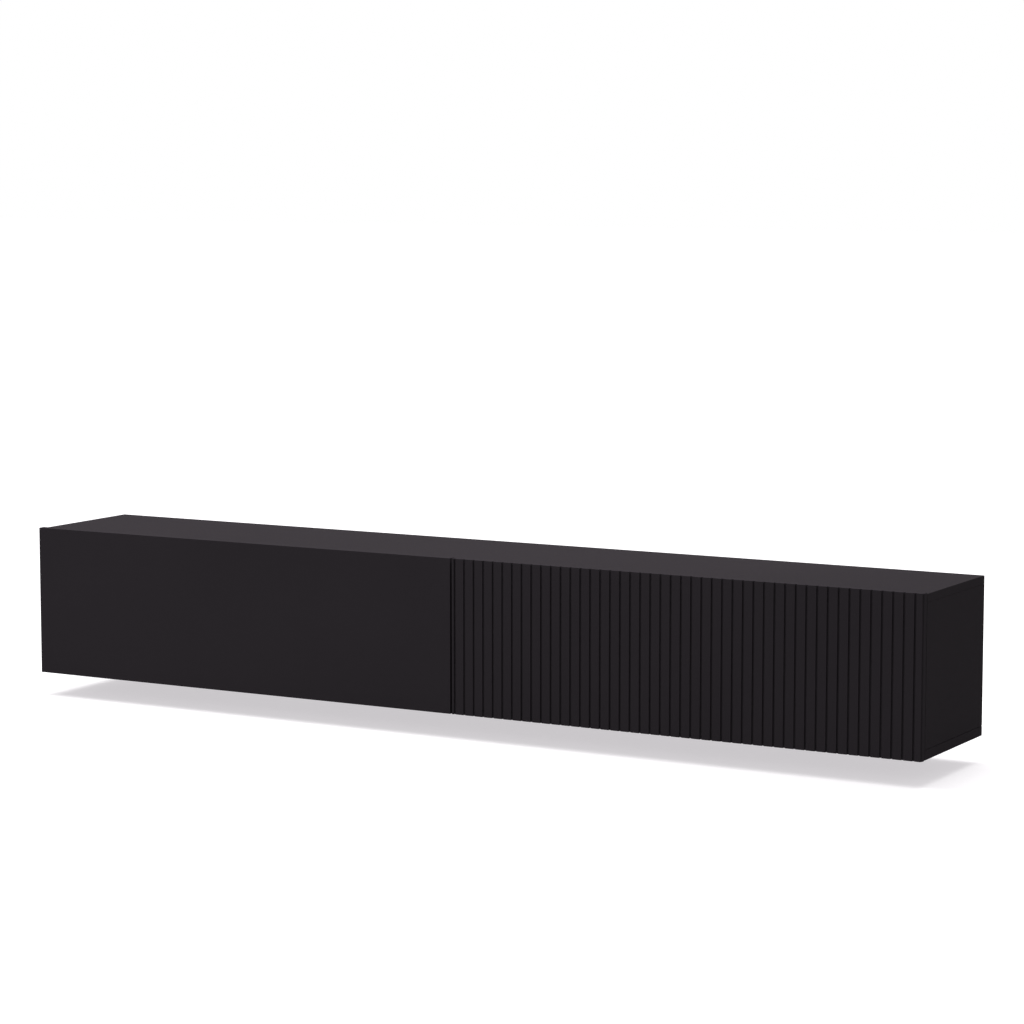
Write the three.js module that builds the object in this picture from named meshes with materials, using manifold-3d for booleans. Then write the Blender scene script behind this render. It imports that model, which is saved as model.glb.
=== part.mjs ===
// A wall-hung media console: a long low carcass behind two drop-down flaps, one smooth and one fluted.
// Millimetres. +X runs to the viewer's right, +Y runs into the wall, +Z is up.
// The origin lies on the back of the wall rail, at its middle, in the plane of the wall.

import * as THREE from 'three';
import { mergeVertices } from 'three/addons/utils/BufferGeometryUtils.js';
import Module from 'manifold-3d';

const wasm = await Module();
wasm.setup();

// Carcass, measured over its boards
const carcassWidth = 2400;
const carcassHeight = 367;
const carcassDepth = 339;
const topThickness = 19;
const bottomThickness = 22;
const sideThickness = 19;
const dividerThickness = 19;
const sideArris = 1.2; // chamfer that draws a line where each side meets the bottom board

// Clearances
const seatGap = 0.2; // between faces that rest on each other
const pivotPlay = 0.3; // between a pin and its hole, all round
const sidePlay = 0.4; // beside a knuckle, and between the layers of a linkage
const cutOverrun = 2; // how far a cutter runs past the face that it opens

// Flaps
const flapThickness = 19;
const flapGap = 2; // air between the carcass edges and the back of a closed flap
const flapAboveTop = 2.5;
const flapBelowBottom = 0.5;
const smoothFlapWidth = 1209;
const gapBetweenFlaps = 5;
const flapReliefSize = 3; // chamfer along the inner bottom edge, which turns inwards as a flap opens
const flapCornerClearance = 0.75; // least air between that edge and the bottom board

// Flutes in the right-hand flap
const fluteFirstInset = 8;
const flutePitch = 25.75;
const fluteWidth = 4.6;
const fluteDepth = 4; // leaves a web of board over the hinge cups
const fluteArris = 0.7;
const fluteLastRib = 14; // least width left beside the last flute

// Back panels and their grooves
const backThickness = 3;
const backInset = 37; // from the wall to the rear of the back panels
const grooveDepth = 7;
const grooveEndPlay = 0.5;

// Hanging stretcher and its two interlocking rails
const stretcherHeight = 90;
const stretcherThickness = 19;
const railThickness = 2.5;
const railPlay = 0.3;
const railFlangeHeight = 26;
const railLipHeight = 12;
const railLength = 2200;
const railTopMargin = 8;
const railHoleRadius = 3;
const railHoleEndInset = 60;
const railHoleCount = 6;

// Cable outlets
const outletWidth = 160;
const outletHeight = 60;
const outletRise = 38; // from the cabinet floor to the outlet's lower edge
const grommetFlange = 8;
const grommetFlangeThickness = 2;
const grommetWall = 2;
const grommetCollarDepth = 8;
const floorNotchWidth = 160;
const floorNotchDepth = 25;

// Hinges: a cup let into the flap, an arm cranked over the bottom board, and a pin
const hingeEndInset = 110;
const hingePinRadius = 1.5;
const knuckleRadius = 3.2;
const knuckleWidth = 12;
const cupPlay = 0.4;
const cupWall = 0.8;
const cupCheek = 2;
const cupFlangeWidth = 50;
const cupFlangeThickness = 1.2;
const cupFlangeMargin = 4;
const armPlateWidth = 40;
const armPlateLength = 44;
const armPlateThickness = 3;
const armPlateInset = 1.5;
const armLegThickness = 5.4;
const hingeScrewHoleRadius = 2.2;
const hingeScrewInset = 7;

// Flap stays: a damped housing on the board, an arm, a link and a bracket on the flap
const stayHousingRadius = 20;
const stayHousingReach = 66;
const stayHousingThickness = 14;
const stayShaftRadius = 5;
const stayPivotSetback = 75; // from the flap's axis back to the housing's shaft
const stayHeadroom = 38; // from the elbow of the closed stay up to the top board
const stayPinRise = 125; // from the flap's axis up to the bracket's pin
const stayPinStandoff = 14; // from the flap's inner face to the bracket's pin
const stayBarThickness = 3;
const stayBarWidth = 15;
const stayPinRadius = 3;
const stayPinHead = 0.6;
const bracketEarThickness = 2.5;
const bracketEarRadius = 7;
const bracketBaseThickness = 2;
const bracketBaseWidth = 26;
const bracketBaseHeight = 52;

// Push latches: a housing under the top board, a sprung plunger and a strike plate on the flap
const latchEndInset = 240;
const latchWidth = 20;
const latchHeight = 15;
const latchLength = 88;
const latchSetback = 1;
const plungerRadius = 4.5;
const plungerLength = 62;
const plungerNose = 1.2;
const plungerPlay = 0.3;
const strikeRadius = 9;
const strikeThickness = 1;

// Smoothness of round parts, in steps round a full turn
const roundSteps = 16;

// Levels and planes that the pieces share
const carcassFront = -carcassDepth;
const floorLevel = bottomThickness;
const ceilingLevel = carcassHeight - topThickness;
const outerLeft = -carcassWidth / 2;
const outerRight = carcassWidth / 2;
const leftFace = outerLeft + sideThickness;
const rightFace = outerRight - sideThickness;
const dividerMiddle = outerLeft + smoothFlapWidth + gapBetweenFlaps / 2;
const dividerLeftFace = dividerMiddle - dividerThickness / 2;
const dividerRightFace = dividerMiddle + dividerThickness / 2;
const flapInnerFace = carcassFront - flapGap;
const flapOuterFace = flapInnerFace - flapThickness;
const flapBottom = -flapBelowBottom;
const flapHeight = carcassHeight + flapAboveTop + flapBelowBottom;

// Axis that both flaps turn on: half-way through the flap, as high as the turning corner allows
const axisToInnerFace = flapThickness / 2;
const cornerReach = axisToInnerFace + flapGap - flapCornerClearance;
const axisRise = flapReliefSize + Math.sqrt(cornerReach ** 2 - axisToInnerFace ** 2);
const axisDepth = flapInnerFace - axisToInnerFace;
const axisLevel = flapBottom + axisRise;

// Rails: the wall rail's middle is the origin, so the carcass hangs at this level around it
const hookedRailTop = railFlangeHeight / 2 + railLipHeight + railPlay * 2 + railFlangeHeight;
const railMiddleLevel = ceilingLevel - seatGap - railTopMargin - hookedRailTop;
const stretcherBack = -(railThickness * 2 + railPlay * 2 + seatGap);
const stretcherFront = stretcherBack - stretcherThickness;
const stretcherUnderside = ceilingLevel - seatGap - stretcherHeight;

// Finishes
const finish = (color, roughness, metalness) =>
  new THREE.MeshStandardMaterial({ color, roughness, metalness });
const carcassLacquer = () => finish(0x242326, 0.62, 0);
const flapLacquer = () => finish(0x222124, 0.6, 0);
const backBoard = () => finish(0x1c1b1d, 0.8, 0);
const railAluminium = () => finish(0xb9bbbd, 0.4, 1);
const hingeSteel = () => finish(0xa9a8a4, 0.32, 1);
const staySteel = () => finish(0x6d6e70, 0.4, 1);
const darkPlastic = () => finish(0x2b2b2d, 0.55, 0);
const plungerPlastic = () => finish(0x8b8c8e, 0.5, 0);

// Joins and cuts of closed geometries
function solidOf(geometry) {
  const bare = geometry.clone();
  bare.deleteAttribute('normal');
  bare.deleteAttribute('uv');
  const merged = mergeVertices(bare, 1e-4);
  return new wasm.Manifold(new wasm.Mesh({
    numProp: 3,
    vertProperties: new Float32Array(merged.attributes.position.array),
    triVerts: new Uint32Array(merged.index.array),
  }));
}

function geometryOf(solid) {
  const mesh = solid.getMesh();
  const geometry = new THREE.BufferGeometry();
  geometry.setAttribute('position', new THREE.BufferAttribute(mesh.vertProperties, mesh.numProp));
  geometry.setIndex(new THREE.BufferAttribute(mesh.triVerts, 1));
  geometry.computeVertexNormals();
  return geometry;
}

function joined(...geometries) {
  const solids = geometries.map(solidOf);
  return geometryOf(solids.reduce((whole, next) => whole.add(next)));
}

function cut(geometry, ...cutters) {
  const solids = cutters.map(solidOf);
  return geometryOf(solids.reduce((rest, cutter) => rest.subtract(cutter), solidOf(geometry)));
}

// A block between two levels on each axis
function block(x0, x1, y0, y1, z0, z1) {
  const geometry = new THREE.BoxGeometry(x1 - x0, y1 - y0, z1 - z0);
  return geometry.translate((x0 + x1) / 2, (y0 + y1) / 2, (z0 + z1) / 2);
}

// A prism along X: its outline is given as Y and Z, and it runs from x0 to x1
const alongX = new THREE.Matrix4().makeBasis(
  new THREE.Vector3(0, 1, 0),
  new THREE.Vector3(0, 0, 1),
  new THREE.Vector3(1, 0, 0),
);

function prismAlongX(outline, x0, x1) {
  const geometry = new THREE.ExtrudeGeometry(outline, {
    depth: x1 - x0,
    bevelEnabled: false,
    curveSegments: roundSteps / 2,
  });
  return geometry.translate(0, 0, x0).applyMatrix4(alongX);
}

// A prism along Y: its outline is given as X and Z, and it runs from y0 to y1
function prismAlongY(outline, y0, y1) {
  const geometry = new THREE.ExtrudeGeometry(outline, {
    depth: y1 - y0,
    bevelEnabled: false,
    curveSegments: roundSteps / 2,
  });
  return geometry.rotateX(Math.PI / 2).translate(0, y1, 0);
}

const outlineOf = (points) => new THREE.Shape(points.map(([a, b]) => new THREE.Vector2(a, b)));

function rodAlongX(radius, x0, x1) {
  const rod = new THREE.CylinderGeometry(radius, radius, x1 - x0, roundSteps);
  return rod.rotateZ(Math.PI / 2).translate((x0 + x1) / 2, 0, 0);
}

function rodAlongY(radius, y0, y1) {
  const rod = new THREE.CylinderGeometry(radius, radius, y1 - y0, roundSteps);
  return rod.translate(0, (y0 + y1) / 2, 0);
}

function rodAlongZ(radius, z0, z1) {
  const rod = new THREE.CylinderGeometry(radius, radius, z1 - z0, roundSteps);
  return rod.rotateX(Math.PI / 2).translate(0, 0, (z0 + z1) / 2);
}

// A slot's outline: two half circles, its middle at the origin, its length along the first axis
function slotOutline(length, height) {
  const radius = height / 2;
  const reach = length / 2 - radius;
  const outline = new THREE.Shape();
  outline.absarc(reach, 0, radius, -Math.PI / 2, Math.PI / 2, false);
  outline.absarc(-reach, 0, radius, Math.PI / 2, Math.PI * 1.5, false);
  return outline;
}

function placed(parent, name, geometry, material, x = 0, y = 0, z = 0) {
  const mesh = new THREE.Mesh(geometry, material);
  mesh.name = name;
  mesh.position.set(x, y, z);
  parent.add(mesh);
  return mesh;
}

const part = new THREE.Group();
const carcass = new THREE.Group(); // its level zero is the underside of the bottom board
carcass.position.z = -railMiddleLevel;
part.add(carcass);

const compartments = [
  { side: 'left', from: leftFace, to: dividerLeftFace },
  { side: 'right', from: dividerRightFace, to: rightFace },
];
const middleOf = (compartment) => (compartment.from + compartment.to) / 2;

// The groove that holds the back panels, as a cutter along X and as one along Z
const backRear = -backInset;
const backFront = backRear - backThickness;
const grooveRear = backRear + seatGap;
const grooveFront = backFront - seatGap;

// Top board, grooved underneath for the back panels
function topBoard() {
  const board = block(outerLeft, outerRight, carcassFront, 0, ceilingLevel, carcassHeight);
  const groove = block(
    leftFace - grooveDepth, rightFace + grooveDepth,
    grooveFront, grooveRear,
    ceilingLevel - cutOverrun, ceilingLevel + grooveDepth,
  );
  return cut(board, groove);
}

// Bottom board, grooved above and notched at the wall so that cables can drop out of each compartment
function bottomBoard() {
  const board = block(outerLeft, outerRight, carcassFront, 0, 0, floorLevel);
  const groove = block(
    leftFace - grooveDepth, rightFace + grooveDepth,
    grooveFront, grooveRear,
    floorLevel - grooveDepth, floorLevel + cutOverrun,
  );
  const notches = compartments.map((compartment) => block(
    middleOf(compartment) - floorNotchWidth / 2, middleOf(compartment) + floorNotchWidth / 2,
    -floorNotchDepth, cutOverrun,
    -cutOverrun, floorLevel + cutOverrun,
  ));
  return cut(board, groove, ...notches);
}

// Side board: `inward` is +1 for the left-hand side and -1 for the right-hand one
function sideBoard(innerFace, inward) {
  const outerFace = innerFace - inward * sideThickness;
  const grooveFloor = innerFace - inward * grooveDepth;
  const grooveMouth = innerFace + inward * cutOverrun;
  const bottom = floorLevel + seatGap;
  const top = ceilingLevel - seatGap;
  const board = block(
    Math.min(innerFace, outerFace), Math.max(innerFace, outerFace),
    carcassFront, 0,
    bottom, top,
  );
  const groove = block(
    Math.min(grooveFloor, grooveMouth), Math.max(grooveFloor, grooveMouth),
    grooveFront, grooveRear,
    bottom - cutOverrun, top + cutOverrun,
  );
  const arris = prismAlongY(outlineOf([
    [outerFace - inward * cutOverrun, bottom - cutOverrun],
    [outerFace + inward * (sideArris + cutOverrun), bottom - cutOverrun],
    [outerFace - inward * cutOverrun, bottom + sideArris + cutOverrun],
  ]), carcassFront - cutOverrun, cutOverrun);
  return cut(board, groove, arris);
}

// Divider behind the gap between the flaps, grooved on both faces and notched round the stretcher
function dividerBoard() {
  const bottom = floorLevel + seatGap;
  const top = ceilingLevel - seatGap;
  const board = block(dividerLeftFace, dividerRightFace, carcassFront, 0, bottom, top);
  const leftGroove = block(
    dividerLeftFace - cutOverrun, dividerLeftFace + grooveDepth,
    grooveFront, grooveRear,
    bottom - cutOverrun, top + cutOverrun,
  );
  const rightGroove = block(
    dividerRightFace - grooveDepth, dividerRightFace + cutOverrun,
    grooveFront, grooveRear,
    bottom - cutOverrun, top + cutOverrun,
  );
  const notch = block(
    dividerLeftFace - cutOverrun, dividerRightFace + cutOverrun,
    stretcherFront - seatGap, cutOverrun,
    stretcherUnderside - seatGap, top + cutOverrun,
  );
  return cut(board, leftGroove, rightGroove, notch);
}

placed(carcass, 'top_panel', topBoard(), carcassLacquer());
placed(carcass, 'bottom_panel', bottomBoard(), carcassLacquer());
placed(carcass, 'left_side_panel', sideBoard(leftFace, 1), carcassLacquer());
placed(carcass, 'right_side_panel', sideBoard(rightFace, -1), carcassLacquer());
placed(carcass, 'centre_divider', dividerBoard(), carcassLacquer());

// Back panels, each with a cable outlet lined by a grommet
const outletLevel = floorLevel + outletRise + outletHeight / 2;

function backPanel(compartment) {
  const reach = grooveDepth - grooveEndPlay;
  const sheet = block(
    compartment.from - reach, compartment.to + reach,
    backFront, backRear,
    floorLevel - reach, ceilingLevel + reach,
  );
  const outlet = prismAlongY(
    slotOutline(outletWidth, outletHeight),
    backFront - cutOverrun, backRear + cutOverrun,
  ).translate(middleOf(compartment), 0, outletLevel);
  return cut(sheet, outlet);
}

function cableGrommet() {
  const flangeFront = backFront - seatGap - grommetFlangeThickness;
  const flangeRear = backFront - seatGap;
  const collarRear = flangeRear + grommetCollarDepth;
  const collarWidth = outletWidth - pivotPlay * 2;
  const collarHeight = outletHeight - pivotPlay * 2;
  const flange = prismAlongY(
    slotOutline(outletWidth + grommetFlange * 2, outletHeight + grommetFlange * 2),
    flangeFront, flangeRear,
  );
  const collar = prismAlongY(slotOutline(collarWidth, collarHeight), flangeFront, collarRear);
  const mouth = prismAlongY(
    slotOutline(collarWidth - grommetWall * 2, collarHeight - grommetWall * 2),
    flangeFront - cutOverrun, collarRear + cutOverrun,
  );
  return cut(joined(flange, collar), mouth);
}

for (const compartment of compartments) {
  placed(carcass, `back_panel_${compartment.side}`, backPanel(compartment), backBoard());
  placed(
    carcass, `cable_grommet_${compartment.side}`, cableGrommet(), darkPlastic(),
    middleOf(compartment), 0, outletLevel,
  );
}

// Hanging stretcher under the top board
placed(
  carcass, 'hanging_stretcher',
  block(
    leftFace + seatGap, rightFace - seatGap,
    stretcherFront, stretcherBack,
    stretcherUnderside, ceilingLevel - seatGap,
  ),
  carcassLacquer(),
);

// Wall rail and cabinet rail: two folded strips whose lips hook over each other.
// Outlines are in Y and Z, with level zero at the middle of the wall rail's flange.
const lipBack = -(railThickness + railPlay * 2);
const lipFront = lipBack - railThickness;
const hookBack = -railPlay;
const hookFront = hookBack - railThickness;
const flangeTop = railFlangeHeight / 2;
const lipTop = flangeTop + railLipHeight;
const hookBottom = flangeTop + railPlay;
const hookShoulder = lipTop + railPlay;

const wallRailOutline = outlineOf([
  [0, -flangeTop],
  [0, flangeTop],
  [lipBack, flangeTop],
  [lipBack, lipTop],
  [lipFront, lipTop],
  [lipFront, flangeTop - railThickness],
  [-railThickness, flangeTop - railThickness],
  [-railThickness, -flangeTop],
]);

const cabinetRailOutline = outlineOf([
  [hookBack, hookBottom],
  [hookBack, hookShoulder + railThickness],
  [lipBack, hookShoulder + railThickness],
  [lipBack, hookShoulder + railFlangeHeight],
  [lipFront, hookShoulder + railFlangeHeight],
  [lipFront, hookShoulder],
  [hookFront, hookShoulder],
  [hookFront, hookBottom],
]);

// Screw holes at even steps along a rail, none of them at its middle
function drilledRail(outline, holeLevel) {
  const rail = prismAlongX(outline, -railLength / 2, railLength / 2);
  const span = railLength - railHoleEndInset * 2;
  const holes = Array.from({ length: railHoleCount }, (_, i) => {
    const x = -span / 2 + (span * i) / (railHoleCount - 1);
    return rodAlongY(railHoleRadius, lipFront - cutOverrun, cutOverrun).translate(x, 0, holeLevel);
  });
  return cut(rail, ...holes);
}

placed(part, 'wall_rail', drilledRail(wallRailOutline, 0), railAluminium());
placed(
  part, 'cabinet_rail',
  drilledRail(cabinetRailOutline, hookShoulder + (railFlangeHeight + railThickness) / 2),
  railAluminium(),
);

// Hinges. Each is drawn round the flap's axis: Y back from the axis, Z up from it.
const armUnderside = floorLevel + seatGap - axisLevel;
const armTopside = armUnderside + armPlateThickness;
const cavityFront = -(knuckleRadius + cupPlay);
const cavityTop = Math.hypot(knuckleRadius, armTopside) + cupPlay;
const cavityHalfWidth = knuckleWidth / 2 + sidePlay;
const cupHalfWidth = cavityHalfWidth + cupCheek;
const cupFront = cavityFront - cupWall;
const cupTop = cavityTop + cupWall;

// The cup's body and its flange, as blocks grown by `play` all round where they sit in the flap
function cupBlocks(play, back) {
  const body = block(
    -cupHalfWidth - play, cupHalfWidth + play,
    cupFront - play, back,
    cupFront - play, cupTop + play,
  );
  const flange = block(
    -cupFlangeWidth / 2 - play, cupFlangeWidth / 2 + play,
    axisToInnerFace - cupFlangeThickness - play, back,
    cupFront - play, cupTop + cupFlangeMargin + play,
  );
  return joined(body, flange);
}

function hingeCup() {
  const cavity = block(
    -cavityHalfWidth, cavityHalfWidth,
    cavityFront, axisToInnerFace + cutOverrun,
    cavityFront, cavityTop,
  );
  const pinHole = rodAlongX(
    hingePinRadius + pivotPlay, -cupHalfWidth - cutOverrun, cupHalfWidth + cutOverrun,
  );
  const screwReach = cupFlangeWidth / 2 - hingeScrewInset;
  const screwHoles = [-screwReach, screwReach].map((x) => rodAlongY(
    hingeScrewHoleRadius,
    axisToInnerFace - cupFlangeThickness - cutOverrun, axisToInnerFace + cutOverrun,
  ).translate(x, 0, (cupFront + cupTop) / 2));
  return cut(cupBlocks(0, axisToInnerFace), cavity, pinHole, ...screwHoles);
}

function hingeArm() {
  const plateFront = axisToInnerFace + flapGap + armPlateInset;
  const plateBack = plateFront + armPlateLength;
  const legFront = -knuckleRadius;
  const legBack = legFront + armLegThickness;
  const plate = block(
    -armPlateWidth / 2, armPlateWidth / 2, plateFront, plateBack, armUnderside, armTopside,
  );
  const crank = prismAlongX(outlineOf([
    [legFront, 0],
    [legFront, armTopside],
    [plateBack, armTopside],
    [plateBack, armUnderside],
    [legBack, armUnderside],
    [legBack, 0],
  ]), -knuckleWidth / 2, knuckleWidth / 2);
  const knuckle = rodAlongX(knuckleRadius, -knuckleWidth / 2, knuckleWidth / 2);
  const pinHole = rodAlongX(
    hingePinRadius + pivotPlay, -knuckleWidth / 2 - cutOverrun, knuckleWidth / 2 + cutOverrun,
  );
  const screwReach = armPlateWidth / 2 - hingeScrewInset;
  const screwHoles = [-screwReach, screwReach].map((x) => rodAlongZ(
    hingeScrewHoleRadius, armUnderside - cutOverrun, armTopside + cutOverrun,
  ).translate(x, (plateFront + plateBack) / 2, 0));
  return cut(joined(plate, crank, knuckle), pinHole, ...screwHoles);
}

const hingePlaces = (compartment) => [
  compartment.from + hingeEndInset,
  middleOf(compartment),
  compartment.to - hingeEndInset,
];

for (const compartment of compartments) {
  hingePlaces(compartment).forEach((x, i) => {
    const hinge = new THREE.Group();
    hinge.position.set(x, axisDepth, axisLevel);
    carcass.add(hinge);
    const label = `${compartment.side}_hinge`;
    const pinReach = cupHalfWidth - seatGap;
    placed(hinge, `${label}_cup_${i + 1}`, hingeCup(), hingeSteel());
    placed(hinge, `${label}_arm_${i + 1}`, hingeArm(), hingeSteel());
    placed(hinge, `${label}_pin_${i + 1}`, rodAlongX(hingePinRadius, -pinReach, pinReach), hingeSteel());
  });
}

// Flaps: a board with its inner bottom edge chamfered, pocketed for its hinge cups
function flapBlank(x0, x1) {
  return prismAlongX(outlineOf([
    [flapOuterFace, flapBottom],
    [flapInnerFace - flapReliefSize, flapBottom],
    [flapInnerFace, flapBottom + flapReliefSize],
    [flapInnerFace, flapBottom + flapHeight],
    [flapOuterFace, flapBottom + flapHeight],
  ]), x0, x1);
}

function cupPockets(compartment) {
  return hingePlaces(compartment).map((x) =>
    cupBlocks(seatGap, axisToInnerFace + cutOverrun).translate(x, axisDepth, axisLevel));
}

// One flute's cutter, an upright channel with eased arrises
function fluteCutter(x) {
  const half = fluteWidth / 2;
  const outline = outlineOf([
    [x - half - fluteArris - cutOverrun, flapOuterFace - cutOverrun],
    [x - half - fluteArris, flapOuterFace],
    [x - half, flapOuterFace + fluteArris],
    [x - half, flapOuterFace + fluteDepth],
    [x + half, flapOuterFace + fluteDepth],
    [x + half, flapOuterFace + fluteArris],
    [x + half + fluteArris, flapOuterFace],
    [x + half + fluteArris + cutOverrun, flapOuterFace - cutOverrun],
  ]);
  const channel = new THREE.ExtrudeGeometry(outline, {
    depth: flapHeight + cutOverrun * 2,
    bevelEnabled: false,
  });
  return channel.translate(0, 0, flapBottom - cutOverrun);
}

const [leftCompartment, rightCompartment] = compartments;
const smoothFlap = flapBlank(outerLeft, outerLeft + smoothFlapWidth);
placed(carcass, 'smooth_flap', cut(smoothFlap, ...cupPockets(leftCompartment)), flapLacquer());

const flutedFlapLeft = outerLeft + smoothFlapWidth + gapBetweenFlaps;
const flutedFlapWidth = outerRight - flutedFlapLeft;
const fluteRun = flutedFlapWidth - fluteFirstInset - fluteLastRib - fluteWidth / 2;
const fluteCount = Math.floor(fluteRun / flutePitch) + 1;
const flutes = Array.from({ length: fluteCount }, (_, i) =>
  fluteCutter(flutedFlapLeft + fluteFirstInset + flutePitch * i));
const halfFluteAtEnd = fluteCutter(outerRight);
const flutedFlap = flapBlank(flutedFlapLeft, outerRight);
placed(
  carcass, 'fluted_flap',
  cut(flutedFlap, ...flutes, halfFluteAtEnd, ...cupPockets(rightCompartment)),
  flapLacquer(),
);

// Flap stays. The shaft, elbow, bracket pin and flap axis are the corners of a parallelogram, so
// the arm turns with the flap and the link keeps its slope.
const bracketPinDepth = axisDepth + axisToInnerFace + stayPinStandoff;
const bracketPinLevel = axisLevel + stayPinRise;
const elbowLevel = ceilingLevel - stayHeadroom;
const shaftDepth = axisDepth + stayPivotSetback;
const shaftLevel = elbowLevel - stayPinRise;
const elbowDepth = shaftDepth + bracketPinDepth - axisDepth;
const armLength = Math.hypot(elbowDepth - shaftDepth, elbowLevel - shaftLevel);
const linkLength = Math.hypot(elbowDepth - bracketPinDepth, elbowLevel - bracketPinLevel);

// Layers of a stay, counted from the board's face
const armLayer = seatGap + stayHousingThickness + sidePlay;
const linkLayer = armLayer + stayBarThickness + sidePlay;
const earLayer = linkLayer + stayBarThickness + sidePlay;

// A flat bar from the origin up along Z, with an eye at each end given, lying from x0 to x1
function bar(length, x0, x1, eyes) {
  const radius = stayBarWidth / 2;
  const outline = new THREE.Shape();
  outline.absarc(0, length, radius, 0, Math.PI, false);
  outline.absarc(0, 0, radius, Math.PI, Math.PI * 2, false);
  for (const [level, eyeRadius] of eyes) {
    const eye = new THREE.Path();
    eye.absarc(0, level, eyeRadius, 0, Math.PI * 2, true);
    outline.holes.push(eye);
  }
  return prismAlongX(outline, x0, x1);
}

// Geometry is drawn for a board on the left, layers running to +X, and `inward` turns it about
function layered(inward, from, to) {
  return inward > 0 ? [from, to] : [-to, -from];
}

function stayHousing(inward) {
  const reach = stayHousingReach / 2;
  const [x0, x1] = layered(inward, seatGap, seatGap + stayHousingThickness);
  const [s0, s1] = layered(inward, seatGap + stayHousingThickness / 2, linkLayer - sidePlay / 2);
  const body = prismAlongX(
    slotOutline(stayHousingReach + stayHousingRadius * 2, stayHousingRadius * 2), x0, x1,
  ).translate(0, reach, 0);
  return joined(body, rodAlongX(stayShaftRadius, s0, s1));
}

function stayArm(inward) {
  const [x0, x1] = layered(inward, armLayer, armLayer + stayBarThickness);
  const [p0, p1] = layered(inward, armLayer + stayBarThickness / 2, earLayer - sidePlay + stayPinHead);
  const flat = bar(armLength, x0, x1, [[0, stayShaftRadius + pivotPlay]]);
  return joined(flat, rodAlongX(stayPinRadius, p0, p1).translate(0, 0, armLength));
}

function stayLink(inward) {
  const [x0, x1] = layered(inward, linkLayer, linkLayer + stayBarThickness);
  const eye = stayPinRadius + pivotPlay;
  return bar(linkLength, x0, x1, [[0, eye], [linkLength, eye]]);
}

// Bracket drawn round its pin: a base on the flap's inner face, an ear and the pin
function stayBracket(inward) {
  const baseFront = seatGap - stayPinStandoff;
  const baseBack = baseFront + bracketBaseThickness;
  const [e0, e1] = layered(inward, earLayer, earLayer + bracketEarThickness);
  const [b0, b1] = layered(inward, earLayer, earLayer + bracketBaseWidth);
  const [p0, p1] = layered(inward, linkLayer - sidePlay / 2, earLayer + bracketEarThickness / 2);
  const base = block(b0, b1, baseFront, baseBack, -bracketBaseHeight / 2, bracketBaseHeight / 2);
  const earOutline = new THREE.Shape();
  earOutline.moveTo(baseFront, -bracketBaseHeight / 2);
  earOutline.lineTo(0, -bracketEarRadius);
  earOutline.absarc(0, 0, bracketEarRadius, -Math.PI / 2, Math.PI / 2, false);
  earOutline.lineTo(baseFront, bracketBaseHeight / 2);
  return joined(base, prismAlongX(earOutline, e0, e1), rodAlongX(stayPinRadius, p0, p1));
}

const stayPlaces = [
  { name: 'left_outer_stay', face: leftFace, inward: 1 },
  { name: 'left_inner_stay', face: dividerLeftFace, inward: -1 },
  { name: 'right_inner_stay', face: dividerRightFace, inward: 1 },
  { name: 'right_outer_stay', face: rightFace, inward: -1 },
];

for (const { name, face, inward } of stayPlaces) {
  const stay = new THREE.Group();
  stay.position.x = face;
  carcass.add(stay);
  placed(stay, `${name}_housing`, stayHousing(inward), darkPlastic(), 0, shaftDepth, shaftLevel);
  const arm = placed(stay, `${name}_arm`, stayArm(inward), staySteel(), 0, shaftDepth, shaftLevel);
  arm.rotation.x = -Math.atan2(elbowDepth - shaftDepth, elbowLevel - shaftLevel);
  const link = placed(
    stay, `${name}_link`, stayLink(inward), staySteel(), 0, bracketPinDepth, bracketPinLevel,
  );
  link.rotation.x = -Math.atan2(elbowDepth - bracketPinDepth, elbowLevel - bracketPinLevel);
  placed(
    stay, `${name}_bracket`, stayBracket(inward), staySteel(), 0, bracketPinDepth, bracketPinLevel,
  );
}

// Push latches, two to a flap, drawn along Y from the front edge of the top board
const latchLevel = ceilingLevel - seatGap - latchHeight / 2;
const latchFront = carcassFront + latchSetback;
const strikeFace = flapInnerFace + seatGap + strikeThickness;
const plungerTip = strikeFace + pivotPlay;

function latchHousing() {
  const body = block(
    -latchWidth / 2, latchWidth / 2,
    latchFront, latchFront + latchLength,
    -latchHeight / 2, latchHeight / 2,
  );
  const bore = rodAlongY(
    plungerRadius + plungerPlay,
    latchFront - cutOverrun, plungerTip + plungerLength + plungerPlay,
  );
  return cut(body, bore);
}

// Plunger with a rounded nose, turned about its own axis
function latchPlunger() {
  const profile = [
    [0, 0],
    [plungerRadius - plungerNose, 0],
    [plungerRadius, plungerNose],
    [plungerRadius, plungerLength],
    [0, plungerLength],
  ];
  const turned = new THREE.LatheGeometry(profile.map(([r, y]) => new THREE.Vector2(r, y)), roundSteps);
  return turned.translate(0, plungerTip, 0);
}

for (const compartment of compartments) {
  [compartment.from + latchEndInset, compartment.to - latchEndInset].forEach((x, i) => {
    const latch = new THREE.Group();
    latch.position.set(x, 0, latchLevel);
    carcass.add(latch);
    const label = `${compartment.side}_latch`;
    placed(latch, `${label}_housing_${i + 1}`, latchHousing(), darkPlastic());
    placed(latch, `${label}_plunger_${i + 1}`, latchPlunger(), plungerPlastic());
    placed(
      latch, `${label}_strike_${i + 1}`,
      rodAlongY(strikeRadius, flapInnerFace + seatGap, strikeFace), hingeSteel(),
    );
  });
}

export default part;
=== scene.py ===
import math

import bmesh
import bpy
from mathutils import Matrix, Vector


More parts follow.
